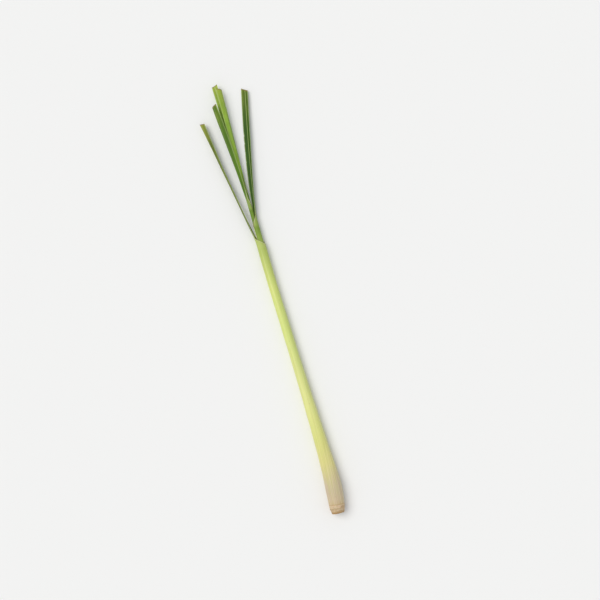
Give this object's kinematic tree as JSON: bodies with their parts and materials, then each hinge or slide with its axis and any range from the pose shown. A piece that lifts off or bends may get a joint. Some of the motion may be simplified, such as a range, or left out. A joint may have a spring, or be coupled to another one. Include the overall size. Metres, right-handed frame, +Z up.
{
  "type": "lemongrass stalk",
  "caption": "Cut lemongrass stalk lying on its side: swollen pale base, sheaths wrapped one inside the other, and narrow trimmed blades that fan out at the tip.",
  "frame": {"origin": "on the surface that the stalk lies on, under the centre of its bounding box", "axes": "+Y along the stalk from the cut base to the blade tips, +Z up, +X to the right"},
  "size_m": [0.056, 0.4454, 0.0166],
  "materials": {
    "stem_cut": "matt, fibrous, cream to tan",
    "outer_sheath": "smooth, softly waxy, cream at the base to pale green",
    "green_leaf": "ribbed, softly waxy, deep green",
    "heart_leaf": "ribbed, softly waxy, fresh green"
  },
  "bodies": {
    "root": {"stem_base": "stem_cut", "outer_leaf": "outer_sheath", "second_leaf": "green_leaf", "third_leaf": "green_leaf", "fourth_leaf": "green_leaf", "heart_leaf": "heart_leaf"}
  },
  "joints": []
}
